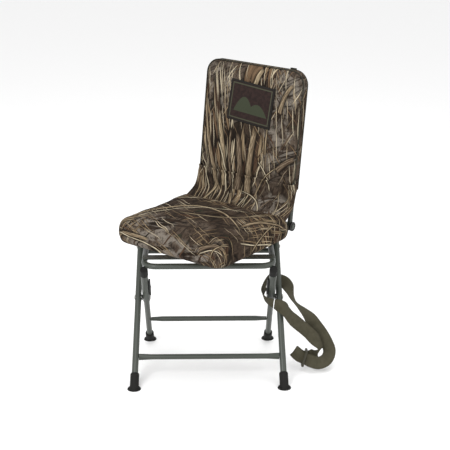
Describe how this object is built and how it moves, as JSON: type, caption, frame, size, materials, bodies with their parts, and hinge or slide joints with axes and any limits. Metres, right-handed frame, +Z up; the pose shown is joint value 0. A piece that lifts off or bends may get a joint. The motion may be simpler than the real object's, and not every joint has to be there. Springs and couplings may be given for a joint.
{
  "type": "folding swivel chair",
  "caption": "Folding steel-tube hunting chair: crossed legs with rubber feet, a padded camouflage seat on a swivel, a fold-down padded back, and a carry strap.",
  "frame": {"origin": "on the ground under the middle of the chair without its carry strap", "axes": "+X to the right of the leg frame, +Y to the back of the leg frame, +Z up"},
  "size_m": [0.6515, 0.5693, 0.8844],
  "materials": {
    "paint": "satin grey-green powder coat",
    "rubber": "matte black",
    "black_plastic": "matte black",
    "zinc": "zinc plated",
    "plywood": "bare plywood",
    "camo_fabric": "printed reed camouflage on woven polyester",
    "backing_fabric": "dark woven",
    "webbing": "olive webbing",
    "badge_fabric": "embroidered patch"
  },
  "bodies": {
    "front_legs": {"carry_strap": "webbing", "crossing_rivet_left": "zinc", "crossing_rivet_right": "zinc", "crossing_spacer_left": "black_plastic", "crossing_spacer_right": "black_plastic", "front_foot_left": "rubber", "front_foot_right": "rubber", "front_leg_cap_left": "black_plastic", "front_leg_cap_right": "black_plastic", "front_leg_left": "paint", "front_leg_right": "paint", "front_stretcher": "paint", "strap_slider": "black_plastic"},
    "rear_legs": {"guard_rivet_left": "zinc", "guard_rivet_right": "zinc", "pinch_guard_left": "black_plastic", "pinch_guard_right": "black_plastic", "rear_foot_left": "rubber", "rear_foot_right": "rubber", "rear_leg_left": "paint", "rear_leg_right": "paint", "rear_leg_sleeve_left": "paint", "rear_leg_sleeve_right": "paint", "rear_stretcher": "paint", "saddle_cap_left": "rubber", "saddle_cap_right": "rubber"},
    "seat_frame": {"pivot_bolt_left": "zinc", "pivot_bolt_right": "zinc", "pivot_ear_left": "paint", "pivot_ear_right": "paint", "seat_frame_rear_bar": "paint", "seat_frame_tube": "paint", "swivel_ball_race": "zinc", "swivel_centre_pin": "zinc", "swivel_lower_plate": "zinc", "swivel_strap_front": "paint", "swivel_strap_rear": "paint"},
    "seat": {"hinge_bar": "paint", "hinge_plate_left": "paint", "hinge_plate_right": "paint", "hinge_rivet_left": "zinc", "hinge_rivet_right": "zinc", "seat_cushion": "camo_fabric", "seat_pan": "plywood", "swivel_upper_plate": "zinc"},
    "backrest": {"back_board": "backing_fabric", "back_cushion": "camo_fabric", "back_frame": "paint", "back_panel": "backing_fabric", "badge": "badge_fabric", "hinge_disc_left": "black_plastic", "hinge_disc_right": "black_plastic", "lower_back_cover": "camo_fabric"}
  },
  "joints": [
    {"name": "legs_fold", "type": "hinge", "parent": "front_legs", "child": "rear_legs", "pos_m": [-0.0108, -0.0165, 0.218], "axis": [-1, 0, 0], "range_deg": [0, 66], "deforming": ["carry_strap"]},
    {"name": "seat_frame_fold", "type": "hinge", "parent": "front_legs", "child": "seat_frame", "pos_m": [-0.0108, 0.0818, 0.343], "axis": [-1, 0, 0], "range_deg": [0, 118]},
    {"name": "seat_swivel", "type": "hinge", "parent": "seat_frame", "child": "seat", "pos_m": [-0.0108, -0.0165, 0.38], "axis": [0, 0, 1], "continuous": true},
    {"name": "backrest_fold", "type": "hinge", "parent": "seat", "child": "backrest", "pos_m": [0.1006, 0.1236, 0.43], "axis": [0.7826, -0.6225, 0], "range_deg": [0, 50], "deforming": ["lower_back_cover"]}
  ],
  "couplings": [
    {"joint": "legs_fold", "follows": "seat_frame_fold", "ratio": 0.559}
  ]
}
